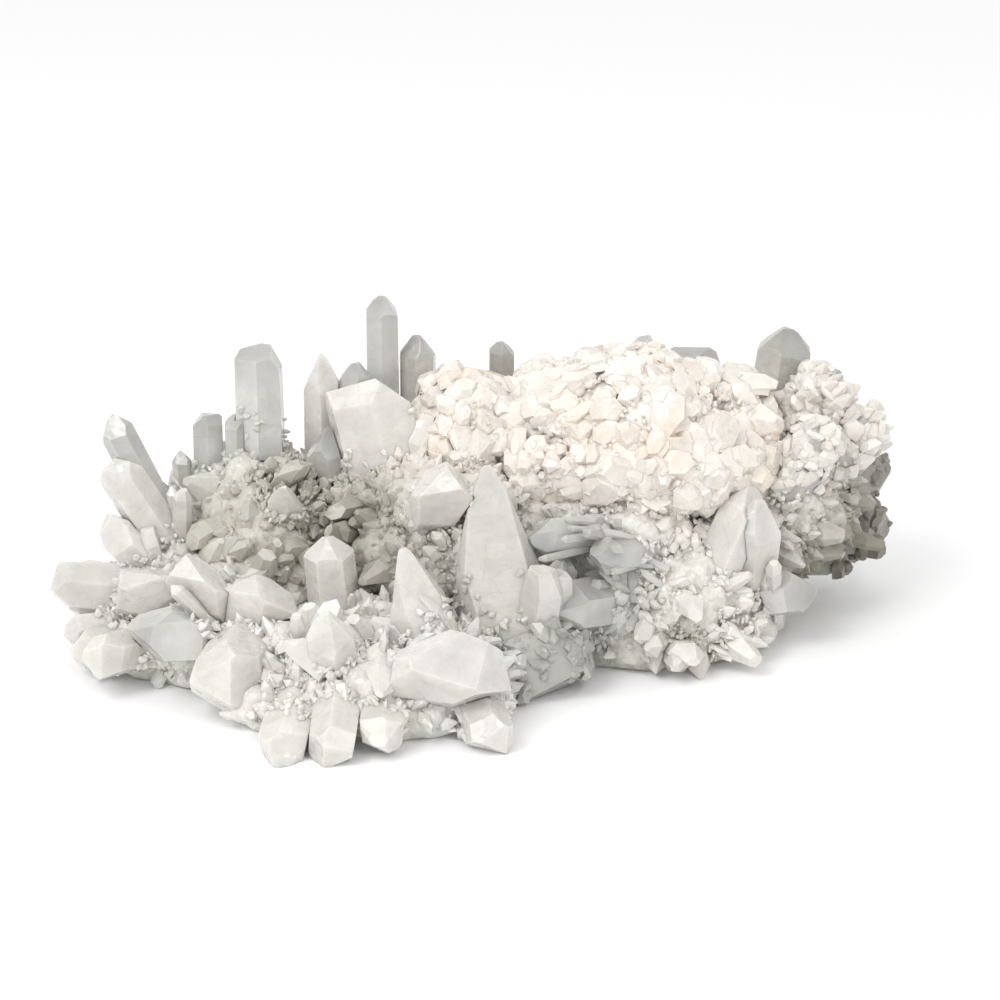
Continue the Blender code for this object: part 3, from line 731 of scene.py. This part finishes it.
def grow_on_parts(lies, mass_places, rng):
    """The crystals that only some parts of the stone have."""
    # The dome's lower rim breaks up into crystals that lean up a little.
    spots, outward = scatter("sugary_dome", 900, rng)
    low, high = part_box("sugary_dome")
    kept = (spots[:, 2] < low[2] + 0.42 * (high[2] - low[2])) & (outward[:, 2] > -0.6)
    spots, outward = spots[kept][:100], unit(outward[kept][:100] + np.array((0, 0, 0.35)))
    grown_crystals("rim_crystals", spots, outward, rng.uniform(1.2, 4.0, len(spots)) * MM,
                   rng.uniform(2, 5, len(spots)) * MM, "sugar_quartz", young, rng, spread=0.3,
                   ends=BLUNT, own=1.0, foot=0.5)

    # The slope to the right of the dome is crusted with bright young crystals.
    for node, number in (("right_slope", 150), ("horn_neighbour", 100), ("right_horn", 70)):
        spots, outward = bare_spots(node, number, mass_places, 0.5 * MM, rng)
        grown_crystals(node + "_crust", spots, outward, rng.uniform(0.5, 2.2, len(spots)) * MM,
                       rng.uniform(2.5, 7.0, len(spots)) * MM, "sugar_quartz", young, rng,
                       spread=0.2, ends=BLUNT, own=1.0, foot=0.8)

    # Small clear points stand in the valley below the dome, within 13 mm of its middle.
    spots, outward = scatter(ROCK, 6000, rng)
    valley = middle("belly_prism") + np.array((6, 2, 8)) * MM
    kept = np.linalg.norm(spots - valley, axis=1) < 13 * MM
    spots, outward = spots[kept][:36], outward[kept][:36]
    grown_crystals("valley_points", spots, outward, rng.uniform(4, 9, len(spots)) * MM,
                   rng.uniform(1.8, 4, len(spots)) * MM, "clear_quartz", clear, rng, spread=0.5,
                   own=1.0)

    # Broad low crystals overlap on both sugary masses, with grains of sugar on them.
    for node, broad, fine in (("sugary_dome", 850, 1500), ("cream_mass", 150, 300)):
        spots, outward = scatter(node, broad, rng)
        widths = (3.0 + 8.5 * rng.uniform(0, 1, broad) ** 2) * MM
        lengths = widths * rng.uniform(0.12, 0.30, broad)
        grown_crystals(node + "_plates", spots, outward, lengths, widths, "sugar_quartz", sugar, rng,
                       spread=0.13, ends=FLAT_TOPPED, own=3.0, foot=0.9, common=0.12)
        spots, outward = scatter(node, fine, rng)
        grown_crystals(node + "_sugar", spots, outward, rng.uniform(0.4, 1.3, fine) * MM,
                       rng.uniform(0.6, 1.8, fine) * MM, "sugar_quartz", sugar, rng, spread=0.3,
                       own=3.0, foot=0.7)

    # Dusty crusts make the dark rock at the right rough.
    for node, number in (("dark_lower", 170), ("far_nose", 150), ("under_slab", 90), ("dark_peak", 90)):
        spots, outward = bare_spots(node, number, mass_places, 0.5 * MM, rng)
        widths = (1.5 + 5.5 * rng.uniform(0, 1, len(spots)) ** 2) * MM
        lengths = widths * rng.uniform(0.15, 0.5, len(spots))
        grown_crystals(node + "_crust", spots, outward, lengths, widths, "rock_quartz", smoky, rng,
                       spread=0.25, ends=BLUNT, own=0.3, foot=0.35)

    # Points stand out to the right and up, where the end of the slope faces right.
    right = unit(np.array((0.75, -0.45, 0.5)))
    for node in ("right_slope", "right_horn"):
        spots, outward = bare_spots(node, 60, mass_places, MM, rng)
        kept = outward @ right > 0.2
        spots, outward = spots[kept][:16], unit(outward[kept][:16] + np.array((0.7, -0.2, 0.5)))
        grown_crystals(node + "_points", spots, outward, rng.uniform(1.5, 3.8, len(spots)) * MM,
                       rng.uniform(3, 5.5, len(spots)) * MM, "sugar_quartz", young, rng,
                       spread=0.12, own=1.0, foot=0.6, common=0.1)

    # Thin rods lie along the two large ones in the valley.
    rods = ("valley_rod_long", "valley_rod_short")
    spots, axes, lengths, widths = parallel_crystals(rods, lies, 5, rng)
    grown_crystals("valley_rods", spots, axes, lengths * 1.6, widths * 0.55, "clear_quartz", clear,
                   rng, spread=0.04, ends=(0.1, 0.5), own=1.0, foot=0.6, common=0.05)


def build_stone():
    """The solids, then the crystals that grow all over, then those of single parts."""
    rng = np.random.default_rng(SEED)
    lies = build_solids(rng)
    mass_places = np.concatenate([merged_solid(node)[0] for node in MASSES])
    grow_all_over(lies, mass_places, rng)
    grow_on_parts(lies, mass_places, rng)


# ---------------------------------------------------------------- studio

# The camera looks slightly down on the stone's front from about 0.6 m, through a portrait lens.
VIEW_ELEVATION = 20
VIEW_DISTANCE = 0.625
VIEW_LENS = 100
VIEW_TARGET = (0.004, 0.0, 0.0395)
# The lamps face this place inside the stone.
LIT_PLACE = (0, 0, 0.03)


def add_camera():
    """A camera level with its horizon, in front of the stone and above it."""
    data = bpy.data.cameras.new("camera")
    data.lens = VIEW_LENS
    data.sensor_width = 36
    data.clip_start = 0.01
    camera = bpy.data.objects.new("camera", data)
    bpy.context.scene.collection.objects.link(camera)
    drop = math.radians(VIEW_ELEVATION)
    forward = Vector((0, math.cos(drop), -math.sin(drop)))
    camera.location = Vector(VIEW_TARGET) - forward * VIEW_DISTANCE
    camera.rotation_euler = forward.to_track_quat("-Z", "Y").to_euler()
    bpy.context.scene.camera = camera


def add_softbox(name, place, size, power):
    """A square lamp that faces the stone."""
    data = bpy.data.lights.new(name, "AREA")
    data.size = size
    data.energy = power
    lamp = bpy.data.objects.new(name, data)
    bpy.context.scene.collection.objects.link(lamp)
    lamp.location = place
    lamp.rotation_euler = (Vector(LIT_PLACE) - Vector(place)).to_track_quat("-Z", "Y").to_euler()


def add_floor():
    """A wide matt white sheet, level with the resting face."""
    mesh = bpy.data.meshes.new("studio_floor")
    half = 4.0
    level = cad_low[2]
    corners = [(-half, -half, level), (half, -half, level), (half, half, level), (-half, half, level)]
    mesh.from_pydata(corners, [], [(0, 1, 2, 3)])
    material = bpy.data.materials.new("white_paper_sweep")
    material.use_nodes = True
    shader = material.node_tree.nodes["Principled BSDF"]
    shader.inputs["Base Color"].default_value = (*srgb("#FCFCFC"), 1)
    shader.inputs["Roughness"].default_value = 0.9
    mesh.materials.append(material)
    floor = bpy.data.objects.new("studio_floor", mesh)
    bpy.context.scene.collection.objects.link(floor)


def light_studio():
    """White surroundings, one large soft lamp high on the left, in front of the stone, and a small
    weak one on the right for glints."""
    world = bpy.data.worlds.new("white_studio")
    world.use_nodes = True
    world.node_tree.nodes["Background"].inputs["Color"].default_value = (1, 1, 1, 1)
    world.node_tree.nodes["Background"].inputs["Strength"].default_value = 0.94
    bpy.context.scene.world = world
    add_softbox("key_softbox", (-0.40, -0.45, 0.70), size=0.40, power=2.9)
    add_softbox("glint_lamp", (0.25, -0.55, 0.60), size=0.06, power=0.5)
    bpy.context.scene.view_settings.view_transform = "Standard"


build_stone()
add_floor()
add_camera()
light_studio()
